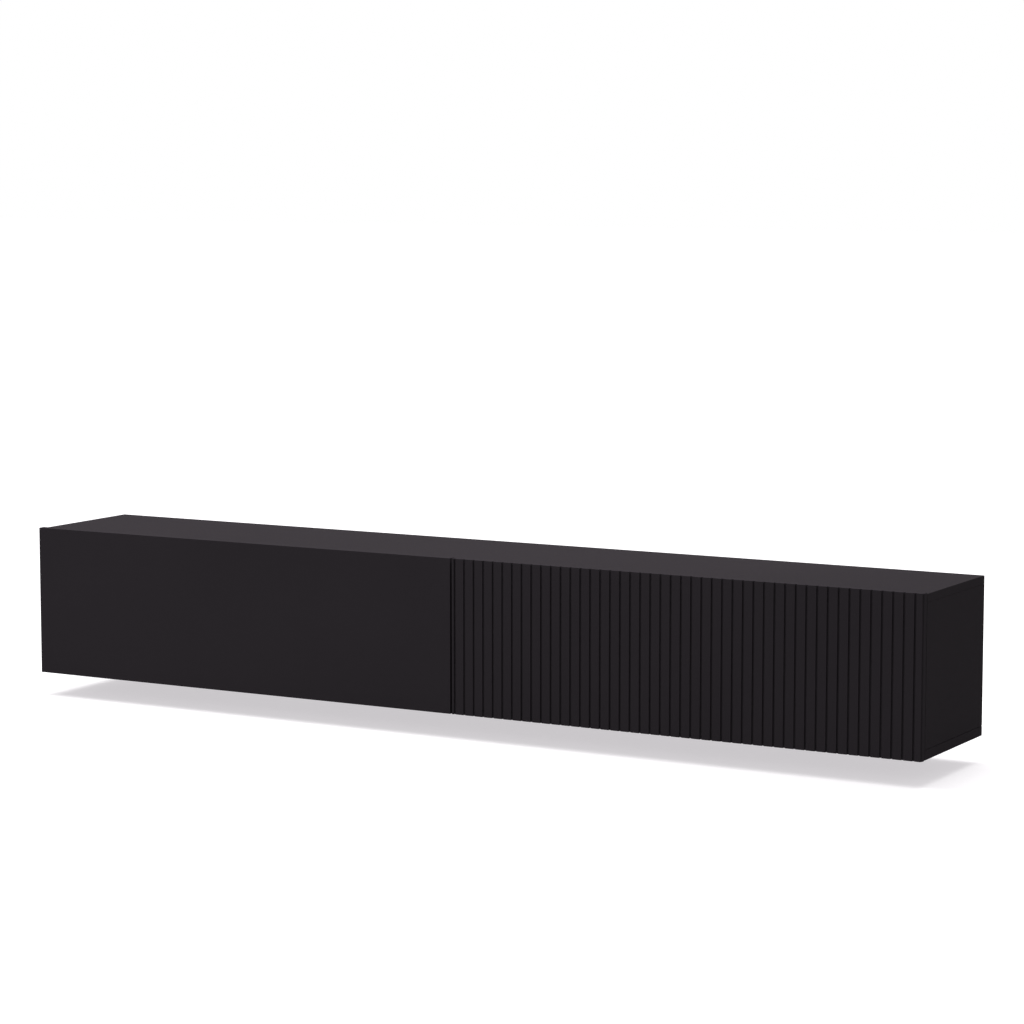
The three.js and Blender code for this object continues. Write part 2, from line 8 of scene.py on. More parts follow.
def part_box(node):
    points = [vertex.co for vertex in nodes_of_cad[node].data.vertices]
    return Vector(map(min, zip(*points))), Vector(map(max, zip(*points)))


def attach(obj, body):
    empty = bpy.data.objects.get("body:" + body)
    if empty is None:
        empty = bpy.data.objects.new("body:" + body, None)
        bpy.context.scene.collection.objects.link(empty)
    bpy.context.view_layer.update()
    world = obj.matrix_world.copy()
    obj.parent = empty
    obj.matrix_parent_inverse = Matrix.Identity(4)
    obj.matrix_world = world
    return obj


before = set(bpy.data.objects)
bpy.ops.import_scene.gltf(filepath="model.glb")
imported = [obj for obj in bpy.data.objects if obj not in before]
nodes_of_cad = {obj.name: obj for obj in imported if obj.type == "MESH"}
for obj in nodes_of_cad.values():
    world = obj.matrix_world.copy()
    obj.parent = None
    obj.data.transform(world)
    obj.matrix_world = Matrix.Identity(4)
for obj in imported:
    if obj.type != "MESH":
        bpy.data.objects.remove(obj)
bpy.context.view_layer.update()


# Camera
# It stands to the right of the console, a little above its top, and looks slightly down on it.
camera_place = (3.7698, -6.6868, 1.0493)
camera_tip = math.radians(90 - 6.654)
camera_turn = math.radians(29.5922)
camera_lens = 111.27

camera_data = bpy.data.cameras.new("camera")
camera_data.sensor_width = 36
camera_data.lens = camera_lens
camera = bpy.data.objects.new("camera", camera_data)
camera.location = camera_place
camera.rotation_euler = (camera_tip, 0, camera_turn)
bpy.context.scene.collection.objects.link(camera)
bpy.context.scene.camera = camera
bpy.context.scene.view_settings.view_transform = "Standard"


# Floor and light
# A plain pale studio: a very wide soft lamp overhead that leans to the left, a weaker one in front,
# and even light from all round. The floor keeps the console's shadow, and glows a little more
# further out, where the lamps fade, so that it runs white up to the backdrop.
floor_level = -0.349
floor_reach = 40
floor_colour = (0.5, 0.5, 0.5, 1)
floor_glow = 0.572
far_glow = 0.85
glow_reach = (2.4, 4.6)
glow_colour = (1, 0.966, 1, 1)
room_light = 0.43
room_white = 1.0
overhead_size = (9.0, 1.7)
overhead_place = (-0.65, -0.35, 4.4)
overhead_aim = (-1.0, 0, -0.1)
overhead_power = 572
front_size = (3.0, 2.0)
front_place = (0.6, -5.2, 1.7)
front_aim = (0, 0, 0)
front_power = 37


def maths(tree, operation, first, second, clamp=False):
    """A math node fed by sockets or plain numbers."""
    node = tree.nodes.new("ShaderNodeMath")
    node.operation = operation
    node.use_clamp = clamp
    for socket, value in zip(node.inputs, (first, second)):
        if isinstance(value, (int, float)):
            socket.default_value = value
        else:
            tree.links.new(value, socket)
    return node.outputs[0]


def spread_over(tree, value, low, high):
    """A value from 0 to 1 spread between two others."""
    node = tree.nodes.new("ShaderNodeMapRange")
    tree.links.new(value, node.inputs["Value"])
    node.inputs["To Min"].default_value = low
    node.inputs["To Max"].default_value = high
    return node.outputs["Result"]


def seen_directly(tree):
    """A value of 1 for camera, mirror and glass rays, and of 0 for light that falls on things."""
    rays = tree.nodes.new("ShaderNodeLightPath").outputs
    either = maths(tree, "MAXIMUM", rays["Is Camera Ray"], rays["Is Glossy Ray"])
    return maths(tree, "MAXIMUM", either, rays["Is Transmission Ray"])


floor_corners = ((-1, -1), (1, -1), (1, 1), (-1, 1))
floor_mesh = bpy.data.meshes.new("floor")
floor_mesh.from_pydata(
    [(x * floor_reach, y * floor_reach, floor_level) for x, y in floor_corners],
    [],
    [(0, 1, 2, 3)],
)
floor = bpy.data.objects.new("floor", floor_mesh)
bpy.context.scene.collection.objects.link(floor)

floor_material = bpy.data.materials.new("studio_floor")
floor_material.use_nodes = True
tree = floor_material.node_tree
tree.nodes.clear()
matt = tree.nodes.new("ShaderNodeBsdfDiffuse")
matt.inputs["Color"].default_value = floor_colour
glow = tree.nodes.new("ShaderNodeEmission")
glow.inputs["Color"].default_value = glow_colour
how_far = tree.nodes.new("ShaderNodeVectorMath")
how_far.operation = "LENGTH"
glow_level = tree.nodes.new("ShaderNodeMapRange")
glow_level.interpolation_type = "SMOOTHSTEP"
glow_level.inputs["From Min"].default_value = glow_reach[0]
glow_level.inputs["From Max"].default_value = glow_reach[1]
glow_level.inputs["To Min"].default_value = floor_glow
glow_level.inputs["To Max"].default_value = far_glow
glow_strength = maths(tree, "MULTIPLY", seen_directly(tree), glow_level.outputs["Result"])
both = tree.nodes.new("ShaderNodeAddShader")
result = tree.nodes.new("ShaderNodeOutputMaterial")
tree.links.new(tree.nodes.new("ShaderNodeNewGeometry").outputs["Position"], how_far.inputs[0])
tree.links.new(how_far.outputs["Value"], glow_level.inputs["Value"])
tree.links.new(glow_strength, glow.inputs["Strength"])
tree.links.new(matt.outputs[0], both.inputs[0])
tree.links.new(glow.outputs[0], both.inputs[1])
tree.links.new(both.outputs[0], result.inputs["Surface"])
floor_mesh.materials.append(floor_material)

world = bpy.data.worlds.new("studio")
world.use_nodes = True
bpy.context.scene.world = world
tree = world.node_tree
backdrop = tree.nodes["Background"]
backdrop.inputs["Color"].default_value = (1, 1, 1, 1)
room_level = spread_over(tree, seen_directly(tree), room_light, room_white)
tree.links.new(room_level, backdrop.inputs["Strength"])


def soft_lamp(name, size, place, aim, power):
    """A rectangular soft lamp that faces a point."""
    data = bpy.data.lights.new(name, "AREA")
    data.shape = "RECTANGLE"
    data.size, data.size_y = size
    data.energy = power
    lamp = bpy.data.objects.new(name, data)
    lamp.location = place
    lamp.rotation_euler = (Vector(aim) - Vector(place)).to_track_quat("-Z", "Y").to_euler()
    lamp.visible_camera = False
    lamp.visible_glossy = False
    bpy.context.scene.collection.objects.link(lamp)


soft_lamp("overhead", overhead_size, overhead_place, overhead_aim, overhead_power)
soft_lamp("front", front_size, front_place, front_aim, front_power)


# Carcass boards: top, bottom, two sides, the divider and the hanging stretcher
# Medium-density fibreboard, 19 and 22 mm, sawn and grooved, its edges eased with a hand block, then
# sprayed with matt black lacquer. Dowels and cams draw the boards together.
board_edge = 0.0003
lacquer_colour = (0.019, 0.0164, 0.0187)
lacquer_worn = (0.05, 0.046, 0.05)
lacquer_roughness = 0.8
lacquer_peel = 0.00003
lacquer_sheen_level = 0.0075


def new_group(name, inputs, outputs):
    """An empty shader group with its sockets, its input node and its output node."""
    group = bpy.data.node_groups.new(name, "ShaderNodeTree")
    for label, kind, value in inputs:
        socket = group.interface.new_socket(name=label, in_out="INPUT", socket_type=kind)
        socket.default_value = value
    for label, kind in outputs:
        group.interface.new_socket(name=label, in_out="OUTPUT", socket_type=kind)
    return group, group.nodes.new("NodeGroupInput"), group.nodes.new("NodeGroupOutput")


def noise(tree, vector, scale, detail):
    """Soft noise in the piece's own metres; `scale` is a number or a socket."""
    node = tree.nodes.new("ShaderNodeTexNoise")
    node.inputs["Detail"].default_value = detail
    tree.links.new(vector, node.inputs["Vector"])
    if isinstance(scale, (int, float)):
        node.inputs["Scale"].default_value = scale
    else:
        tree.links.new(scale, node.inputs["Scale"])
    return node.outputs["Fac"]


def relief(tree, height, depth):
    """A normal bumped by a height from 0 to 1, `depth` metres deep."""
    node = tree.nodes.new("ShaderNodeBump")
    tree.links.new(height, node.inputs["Height"])
    tree.links.new(depth, node.inputs["Distance"])
    return node.outputs["Normal"]


def own_metres(tree):
    """Where a point lies in its own piece, in metres."""
    return tree.nodes.new("ShaderNodeTexCoord").outputs["Object"]


# Rubbed edges: a broken line of paler film along each outer corner
corner_gain = 7.0
patch_start = 0.3
patch_gain = 2.4
edge_wear, given, made = new_group(
    "edge_wear",
    [
        ("Radius", "NodeSocketFloat", 0.001),
        ("Amount", "NodeSocketFloat", 0.5),
        ("Patch Size", "NodeSocketFloat", 40.0),
    ],
    [("Mask", "NodeSocketFloat")],
)
rounded = edge_wear.nodes.new("ShaderNodeBevel")
rounded.samples = 4
edge_wear.links.new(given.outputs["Radius"], rounded.inputs["Radius"])
flat = edge_wear.nodes.new("ShaderNodeNewGeometry")
agreement = edge_wear.nodes.new("ShaderNodeVectorMath")
agreement.operation = "DOT_PRODUCT"
edge_wear.links.new(rounded.outputs["Normal"], agreement.inputs[0])
edge_wear.links.new(flat.outputs["Normal"], agreement.inputs[1])
turned_away = maths(edge_wear, "SUBTRACT", 1.0, agreement.outputs["Value"])
near_corner = maths(edge_wear, "MULTIPLY", turned_away, corner_gain, clamp=True)
patches = noise(edge_wear, own_metres(edge_wear), given.outputs["Patch Size"], detail=4)
above_start = maths(edge_wear, "SUBTRACT", patches, patch_start)
broken = maths(edge_wear, "MULTIPLY", above_start, patch_gain, clamp=True)
worn = maths(edge_wear, "MULTIPLY", near_corner, broken)
mask = maths(edge_wear, "MULTIPLY", worn, given.outputs["Amount"], clamp=True)
edge_wear.links.new(mask, made.inputs["Mask"])

# Sprayed film: broad clouds of shade, and the fine orange peel of the spray
speckle_size = 1500.0
sprayed_film, given, made = new_group(
    "sprayed_film",
    [
        ("Cloud Size", "NodeSocketFloat", 3.0),
        ("Peel Size", "NodeSocketFloat", 420.0),
        ("Peel Depth", "NodeSocketFloat", 0.00003),
    ],
    [("Clouds", "NodeSocketFloat"), ("Speckle", "NodeSocketFloat"), ("Normal", "NodeSocketVector")],
)
where = own_metres(sprayed_film)
clouds = noise(sprayed_film, where, given.outputs["Cloud Size"], detail=3)
speckle = noise(sprayed_film, where, speckle_size, detail=1)
peel = noise(sprayed_film, where, given.outputs["Peel Size"], detail=2)
bumps = relief(sprayed_film, peel, given.outputs["Peel Depth"])
sprayed_film.links.new(clouds, made.inputs["Clouds"])
sprayed_film.links.new(speckle, made.inputs["Speckle"])
sprayed_film.links.new(bumps, made.inputs["Normal"])


def place_group(tree, group, **values):
    """A group placed in a material, with its own values; `Peel_Size` sets the socket Peel Size."""
    node = tree.nodes.new("ShaderNodeGroup")
    node.node_tree = group
    for label, value in values.items():
        node.inputs[label.replace("_", " ")].default_value = value
    return node


def blended(tree, share, first, second):
    """Two colours mixed by a socket; each is a plain colour or a socket."""
    node = tree.nodes.new("ShaderNodeMix")
    node.data_type = "RGBA"
    tree.links.new(share, node.inputs["Factor"])
    for label, value in (("A", first), ("B", second)):
        socket = next(s for s in node.inputs if s.name == label and s.type == "RGBA")
        if isinstance(value, tuple):
            socket.default_value = (*value, 1)
        else:
            tree.links.new(value, socket)
    return next(s for s in node.outputs if s.type == "RGBA")


def shaded(colour, share):
    """A colour made lighter or darker; no channel passes 1."""
    return tuple(min(1.0, channel * share) for channel in colour)


def new_material(name):
    """A new material with its node tree and its main shader."""
    material = bpy.data.materials.new(name)
    material.use_nodes = True
    return material, material.node_tree, material.node_tree.nodes["Principled BSDF"]


def lacquer(name, colour, worn_colour, roughness, peel_depth):
    """Sprayed matt lacquer over fibreboard."""
    material, tree, shader = new_material(name)
    film = place_group(tree, sprayed_film, Cloud_Size=2.2, Peel_Size=420.0, Peel_Depth=peel_depth)
    wear = place_group(tree, edge_wear, Radius=0.0008, Amount=0.1, Patch_Size=30.0)
    darker, lighter = shaded(colour, 0.9), shaded(colour, 1.12)
    shade = blended(tree, film.outputs["Clouds"], darker, lighter)
    rubbed = blended(tree, wear.outputs["Mask"], shade, worn_colour)
    sheen = spread_over(tree, film.outputs["Clouds"], roughness - 0.05, roughness + 0.05)
    tree.links.new(rubbed, shader.inputs["Base Color"])
    tree.links.new(sheen, shader.inputs["Roughness"])
    tree.links.new(film.outputs["Normal"], shader.inputs["Normal"])
    shader.inputs["Specular IOR Level"].default_value = lacquer_sheen_level
    return material


def mesh_group(name):
    """An empty group that changes a mesh, with its input node and its output node."""
    group = bpy.data.node_groups.new(name, "GeometryNodeTree")
    for side in ("INPUT", "OUTPUT"):
        group.interface.new_socket(name="Geometry", in_out=side, socket_type="NodeSocketGeometry")
    return group, group.nodes.new("NodeGroupInput"), group.nodes.new("NodeGroupOutput")


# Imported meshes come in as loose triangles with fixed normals, so each is joined up again before its
# edges are eased
same_corner = 0.000005
joined_faces, given, made = mesh_group("joined_faces")
reach = joined_faces.interface.new_socket(
    name="Reach", in_out="INPUT", socket_type="NodeSocketFloat"
)
drop_normals = joined_faces.nodes.new("GeometryNodeRemoveAttribute")
drop_normals.inputs["Name"].default_value = "custom_normal"
join_corners = joined_faces.nodes.new("GeometryNodeMergeByDistance")
joined_faces.links.new(given.outputs["Reach"], join_corners.inputs["Distance"])
joined_faces.links.new(given.outputs[0], drop_normals.inputs["Geometry"])
joined_faces.links.new(drop_normals.outputs[0], join_corners.inputs["Geometry"])
joined_faces.links.new(join_corners.outputs[0], made.inputs[0])

# Faces are shaded smooth across all edges but those sharper than this
hard_above = math.radians(38)
smooth_rounds, given, made = mesh_group("smooth_rounds")
all_faces = smooth_rounds.nodes.new("GeometryNodeSetShadeSmooth")
all_faces.domain = "FACE"
hard_edges = smooth_rounds.nodes.new("GeometryNodeSetShadeSmooth")
hard_edges.domain = "EDGE"
hard_edges.inputs["Shade Smooth"].default_value = False
edge_angle = smooth_rounds.nodes.new("GeometryNodeInputMeshEdgeAngle")
is_hard = smooth_rounds.nodes.new("ShaderNodeMath")
is_hard.operation = "GREATER_THAN"
is_hard.inputs[1].default_value = hard_above
smooth_rounds.links.new(given.outputs[0], all_faces.inputs["Geometry"])
smooth_rounds.links.new(all_faces.outputs[0], hard_edges.inputs["Geometry"])
smooth_rounds.links.new(edge_angle.outputs["Unsigned Angle"], is_hard.inputs[0])
smooth_rounds.links.new(is_hard.outputs[0], hard_edges.inputs["Selection"])
smooth_rounds.links.new(hard_edges.outputs[0], made.inputs[0])


def finish_node(
    name,
    material,
    edge,
    least_angle=35,
    join_within=same_corner,
    flat_within=0.4,
    even=False,
    full=False,
):
    """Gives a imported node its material, eased edges `edge` metres wide, and smooth round faces.

    Faces that lie within `flat_within` degrees of each other become one. `even` then cuts them into
    even triangles, and `full` eases by the whole width also where edges lie close together.
    """
    piece = nodes_of_cad[name]
    for holder in piece.material_slots:
        holder.link = "OBJECT"
        holder.material = material
    joined = piece.modifiers.new("joined_faces", "NODES")
    joined.node_group = joined_faces
    joined[reach.identifier] = join_within
    flatten = piece.modifiers.new("flat_faces", "DECIMATE")
    flatten.decimate_type = "DISSOLVE"
    flatten.angle_limit = math.radians(flat_within)
    if even:
        cut = piece.modifiers.new("even_triangles", "TRIANGULATE")
        cut.quad_method = "BEAUTY"
        cut.ngon_method = "BEAUTY"
    ease = piece.modifiers.new("eased_edges", "BEVEL")
    ease.use_clamp_overlap = not full
    ease.width = edge
    ease.segments = 2
    ease.limit_method = "ANGLE"
    ease.angle_limit = math.radians(least_angle)
    piece.modifiers.new("smooth_rounds", "NODES").node_group = smooth_rounds
    level_faces = piece.modifiers.new("level_faces", "WEIGHTED_NORMAL")
    level_faces.keep_sharp = True


carcass_lacquer = lacquer(
    "carcass_lacquer", lacquer_colour, lacquer_worn, lacquer_roughness, lacquer_peel
)
for board in (
    "top_panel",
    "bottom_panel",
    "left_side_panel",
    "right_side_panel",
    "centre_divider",
    "hanging_stretcher",
):
    finish_node(board, carcass_lacquer, board_edge)


# Cam caps
# Each corner cam sits in a blind bore on the inner face of a side or of the divider. A thin moulded
# cap pressed into the bore covers it and stands 0.8 mm proud.
cap_radius = 0.0088
cap_rise = 0.0008
cap_depths = (-0.292, -0.075)
cap_inset = 0.034
plastic_sheen_level = 0.35


def moulded_plastic(name, colour, roughness, grain_depth):
    """Fine-textured moulding, with its grain from the mould."""
    material, tree, shader = new_material(name)
    film = place_group(
        tree, sprayed_film, Cloud_Size=25.0, Peel_Size=2600.0, Peel_Depth=grain_depth
    )
    wear = place_group(tree, edge_wear, Radius=0.0006, Amount=0.3, Patch_Size=120.0)
    darker, lighter = shaded(colour, 0.88), shaded(colour, 1.14)
    shade = blended(tree, film.outputs["Clouds"], darker, lighter)
    paler = tuple(channel + 0.01 for channel in shaded(colour, 1.8))
    rubbed = blended(tree, wear.outputs["Mask"], shade, paler)
    sheen = spread_over(tree, film.outputs["Speckle"], roughness - 0.08, roughness + 0.08)
    tree.links.new(rubbed, shader.inputs["Base Color"])
    tree.links.new(sheen, shader.inputs["Roughness"])
    tree.links.new(film.outputs["Normal"], shader.inputs["Normal"])
    shader.inputs["Specular IOR Level"].default_value = plastic_sheen_level
    return material


def turned(bm, centre, outward, profile, steps=32):
    """Adds a turned solid; `profile` lists (radius, rise along `outward`) from base to crown."""
    spin = Vector(outward).to_track_quat("Z", "Y").to_matrix()
    rings = []
    for radius, rise in profile:
        if radius == 0:
            rings.append([bm.verts.new(Vector(centre) + spin @ Vector((0, 0, rise)))])
            continue
        ring = []
        for i in range(steps):
            angle = math.tau * i / steps
            offset = Vector((radius * math.cos(angle), radius * math.sin(angle), rise))
            ring.append(bm.verts.new(Vector(centre) + spin @ offset))
        rings.append(ring)
    for low, high in zip(rings, rings[1:]):
        for i in range(steps):
            j = (i + 1) % steps
            if len(low) == 1:
                bm.faces.new((low[0], high[j], high[i]))
            elif len(high) == 1:
                bm.faces.new((low[i], low[j], high[0]))
            else:
                bm.faces.new((low[i], low[j], high[j], high[i]))


def piece_from(bm, name, material, body, smooth_up_to=40):
    """Makes a scene piece of a mesh, smooths its round faces and rides it on a body."""
    bmesh.ops.remove_doubles(bm, verts=bm.verts, dist=same_corner / 10)
    bmesh.ops.recalc_face_normals(bm, faces=bm.faces)
    mesh = bpy.data.meshes.new(name)
    bm.to_mesh(mesh)
    bm.free()
    mesh.polygons.foreach_set("use_smooth", [True] * len(mesh.polygons))
    mesh.set_sharp_from_angle(angle=math.radians(smooth_up_to))
    mesh.materials.append(material)
    piece = bpy.data.objects.new(name, mesh)
    bpy.context.scene.collection.objects.link(piece)
    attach(piece, body)


dark_plastic = moulded_plastic(
    "dark_plastic", colour=(0.026, 0.026, 0.027), roughness=0.5, grain_depth=0.00002
)
cap_profile = (
    (0, 0),
    (cap_radius, 0),
    (cap_radius, cap_rise * 0.45),
    (cap_radius * 0.93, cap_rise),
    (cap_radius * 0.3, cap_rise),
    (cap_radius * 0.24, cap_rise * 0.55),
    (0, cap_rise * 0.55),
)
for label, board, inward in (
    ("left_side_cam_caps", "left_side_panel", 1),
    ("right_side_cam_caps", "right_side_panel", -1),
    ("divider_left_cam_caps", "centre_divider", -1),
    ("divider_right_cam_caps", "centre_divider", 1),
):
    low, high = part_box(board)
    face = high.x if inward > 0 else low.x
    bm = bmesh.new()
    for y in cap_depths:
        for z in (low.z + cap_inset, high.z - cap_inset):
            # The stretcher takes the place of the divider's upper rear cam
            if board == "centre_divider" and y == max(cap_depths) and z > 0:
                continue
            turned(bm, (face, y, z), (inward, 0, 0), cap_profile)
    piece_from(bm, label, dark_plastic, "cabinet")


# Back panels
# Two sheets of 3 mm hard fibreboard, painted dull black on both faces, slid into the grooves of the
# boards round them before the carcass is closed.
back_edge = 0.0004
back_dark = (0.0125, 0.0112, 0.0124)
back_light = (0.0195, 0.0175, 0.0193)
fibre_colour = (0.03, 0.027, 0.028)
back_sheen_level = 0.03
back_board, tree, shader = new_material("back_board")
film = place_group(tree, sprayed_film, Cloud_Size=6.0, Peel_Size=900.0, Peel_Depth=0.00005)
pressed = blended(tree, film.outputs["Clouds"], back_dark, back_light)
fibre_share = spread_over(tree, film.outputs["Speckle"], 0.0, 0.4)
fibres = blended(tree, fibre_share, pressed, fibre_colour)
sheen = spread_over(tree, film.outputs["Clouds"], 0.72, 0.88)
tree.links.new(fibres, shader.inputs["Base Color"])
tree.links.new(sheen, shader.inputs["Roughness"])
tree.links.new(film.outputs["Normal"], shader.inputs["Normal"])
shader.inputs["Specular IOR Level"].default_value = back_sheen_level
for sheet in ("back_panel_left", "back_panel_right"):
    finish_node(sheet, back_board, back_edge, even=True)


# Flaps
# Two 19 mm boards in the carcass's lacquer, painted a shade lighter on the flaps to stand in for the
# brighter light on the fronts. The left one is plain; the right one has upright channels milled into
# it at a pitch of 25.75 mm and half a channel along its right-hand end, their arrises taken off. Both
# hang on three hinges below.
flap_edge = 0.0005
channel_edge = 0.0003
# Painted light: the flaps' colour is a lighter copy of the carcass lacquer's, for the better-lit
# fronts
flap_colour_painted_lighter = (0.0195, 0.0169, 0.0195)
flap_lacquer = lacquer("flap_lacquer", flap_colour_painted_lighter, lacquer_worn, lacquer_roughness, lacquer_peel)
finish_node("smooth_flap", flap_lacquer, flap_edge)
finish_node("fluted_flap", flap_lacquer, channel_edge, least_angle=50, even=True)


# Flap buffers
# A soft round pad near each upper corner of a flap takes up the 2 mm of air between the flap and
# the carcass, so that it closes quietly. Pressed on, with an adhesive back.
buffer_radius = 0.0045
buffer_rise = 0.0017
buffer_inset = 0.045
buffer_level = 0.0693
buffer_rubber = moulded_plastic(
    "buffer_rubber", colour=(0.05, 0.05, 0.051), roughness=0.62, grain_depth=0.00001
)
buffer_profile = (
    (0, 0),
    (buffer_radius, 0),
    (buffer_radius, buffer_rise * 0.45),
    (buffer_radius * 0.9, buffer_rise * 0.75),
    (buffer_radius * 0.62, buffer_rise * 0.95),
    (0, buffer_rise),
)
for label, flap, body in (
    ("left_flap_buffers", "smooth_flap", "left_flap"),
    ("right_flap_buffers", "fluted_flap", "right_flap"),
):
    low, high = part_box(flap)
    bm = bmesh.new()
    for x in (low.x + buffer_inset, high.x - buffer_inset):
        turned(bm, (x, high.y, buffer_level), (0, 1, 0), buffer_profile)
    piece_from(bm, label, buffer_rubber, body)


# Cable outlets
# A moulded grommet lines the slot in each back panel: a flange inside the compartment and a collar
# through the sheet, so that plugs pass without meeting a raw edge.
grommet_edge = 0.0006
for grommet in ("cable_grommet_left", "cable_grommet_right"):
    finish_node(grommet, dark_plastic, grommet_edge)


# Hanging rails
# Two folded aluminium strips, 2.5 mm thick. One is screwed to the wall and the other to the back of
# the stretcher, and their lips hook over each other. The rolling lines run along them.
rail_edge = 0.0003
rail_thickness = 0.0025
rail_screw_places = (-1.04, -0.624, -0.208, 0.208, 0.624, 1.04)
rail_screw_drop = 0.01175
rail_screw_radius = 0.0052
rail_screw_rise = 0.0021
tarnish_size = 45.0
drawn_metal, given, made = new_group(
    "drawn_metal",
    [("Stretch", "NodeSocketVector", (4.0, 900.0, 900.0)), ("Depth", "NodeSocketFloat", 0.00001)],
    [
        ("Streaks", "NodeSocketFloat"),
        ("Tarnish", "NodeSocketFloat"),
        ("Normal", "NodeSocketVector"),
    ],
)
drawn_out = drawn_metal.nodes.new("ShaderNodeVectorMath")
drawn_out.operation = "MULTIPLY"
drawn_metal.links.new(own_metres(drawn_metal), drawn_out.inputs[0])
drawn_metal.links.new(given.outputs["Stretch"], drawn_out.inputs[1])
streaks = noise(drawn_metal, drawn_out.outputs[0], 1.0, detail=4)
tarnish = noise(drawn_metal, own_metres(drawn_metal), tarnish_size, detail=4)
scratches = relief(drawn_metal, streaks, given.outputs["Depth"])
drawn_metal.links.new(streaks, made.inputs["Streaks"])
drawn_metal.links.new(tarnish, made.inputs["Tarnish"])
drawn_metal.links.new(scratches, made.inputs["Normal"])


def metal(name, colour, roughness, stretch, depth):
    """Bare or plated metal: streaks along its working direction and a faint tarnish."""
    material, tree, shader = new_material(name)
    lines = place_group(tree, drawn_metal, Stretch=stretch, Depth=depth)
    wear = place_group(tree, edge_wear, Radius=0.0005, Amount=0.5, Patch_Size=200.0)
    dull, bright = shaded(colour, 0.78), shaded(colour, 1.25)
    shade = blended(tree, lines.outputs["Tarnish"], dull, colour)
    rubbed = blended(tree, wear.outputs["Mask"], shade, bright)
    sheen = spread_over(tree, lines.outputs["Streaks"], roughness - 0.1, roughness + 0.1)
    tree.links.new(rubbed, shader.inputs["Base Color"])
    tree.links.new(sheen, shader.inputs["Roughness"])
    tree.links.new(lines.outputs["Normal"], shader.inputs["Normal"])
    shader.inputs["Metallic"].default_value = 1
    return material


rail_aluminium = metal(
    "rail_aluminium",
    colour=(0.56, 0.565, 0.575),
    roughness=0.46,
    stretch=(4.0, 1400.0, 1400.0),
    depth=0.00001,
)
for rail in ("wall_rail", "cabinet_rail"):
    finish_node(rail, rail_aluminium, rail_edge, even=True)

# A screw head's dome and its cross recess, as shares of its radius and of its rise
head_steps = 24
dome = ((1, 0), (1, 0.35), (0.93, 0.7), (0.78, 0.95), (0.7, 1))
tip, half = 0.62, 0.13
cross = (
    (tip, -half),
    (tip, half),
    (half, half),
    (half, tip),
    (-half, tip),
    (-half, half),
    (-tip, half),
    (-tip, -half),
    (-half, -half),
    (-half, -tip),
    (half, -tip),
    (half, -half),
)
cross_taper = 0.8
recess_share = 0.55
next_head_turn = 1.1


def screw_heads(bm, places, outward, radius, rise, turn=0.4):
    """Adds domed screw heads with a cross recess, each at a place, facing `outward`."""
    spin = Vector(outward).to_track_quat("Z", "Y").to_matrix()
    angles = [math.tau * i / head_steps for i in range(head_steps)]
    for number, place in enumerate(places):
        twist = Matrix.Rotation(turn + number * next_head_turn, 3, "Z")

        def corner(x, y, z):
            offset = Vector((x * radius, y * radius, z * rise))
            return bm.verts.new(Vector(place) + spin @ (twist @ offset))

        rings = [
            [corner(share * math.cos(a), share * math.sin(a), level) for a in angles]
            for share, level in dome
        ]
        for low, high in zip(rings, rings[1:]):
            for i in range(head_steps):
                j = (i + 1) % head_steps
                bm.faces.new((low[i], low[j], high[j], high[i]))
        bm.faces.new(list(reversed(rings[0])))
        rim = [corner(x, y, 1) for x, y in cross]
        sunk = [corner(x * cross_taper, y * cross_taper, 1 - recess_share) for x, y in cross]
        for i in range(len(cross)):
            j = (i + 1) % len(cross)
            bm.faces.new((rim[i], rim[j], sunk[j], sunk[i]))
        bm.faces.new(sunk)
        borders = [
            bm.edges.get((loop[i], loop[(i + 1) % len(loop)]))
            for loop in (rings[-1], rim)
            for i in range(len(loop))
        ]
        bmesh.ops.triangle_fill(bm, use_beauty=True, use_dissolve=False, edges=borders)


screw_steel = metal(
    "screw_steel",
    colour=(0.56, 0.55, 0.53),
    roughness=0.3,
    stretch=(300.0, 300.0, 300.0),
    depth=0.0000005,
)


def screws_from(bm, name, body):
    """Makes one piece of a group of screw heads and rides it on a body."""
    piece_from(bm, name, screw_steel, body, smooth_up_to=30)


rail_low, rail_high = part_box("cabinet_rail")
screw_face = rail_low.y + rail_thickness
screw_level = rail_high.z - rail_screw_drop
bm = bmesh.new()
screw_heads(
    bm,
    [(x, screw_face, screw_level) for x in rail_screw_places],
    (0, 1, 0),
    rail_screw_radius,
    rail_screw_rise,
)
screws_from(bm, "cabinet_rail_screws", "cabinet")


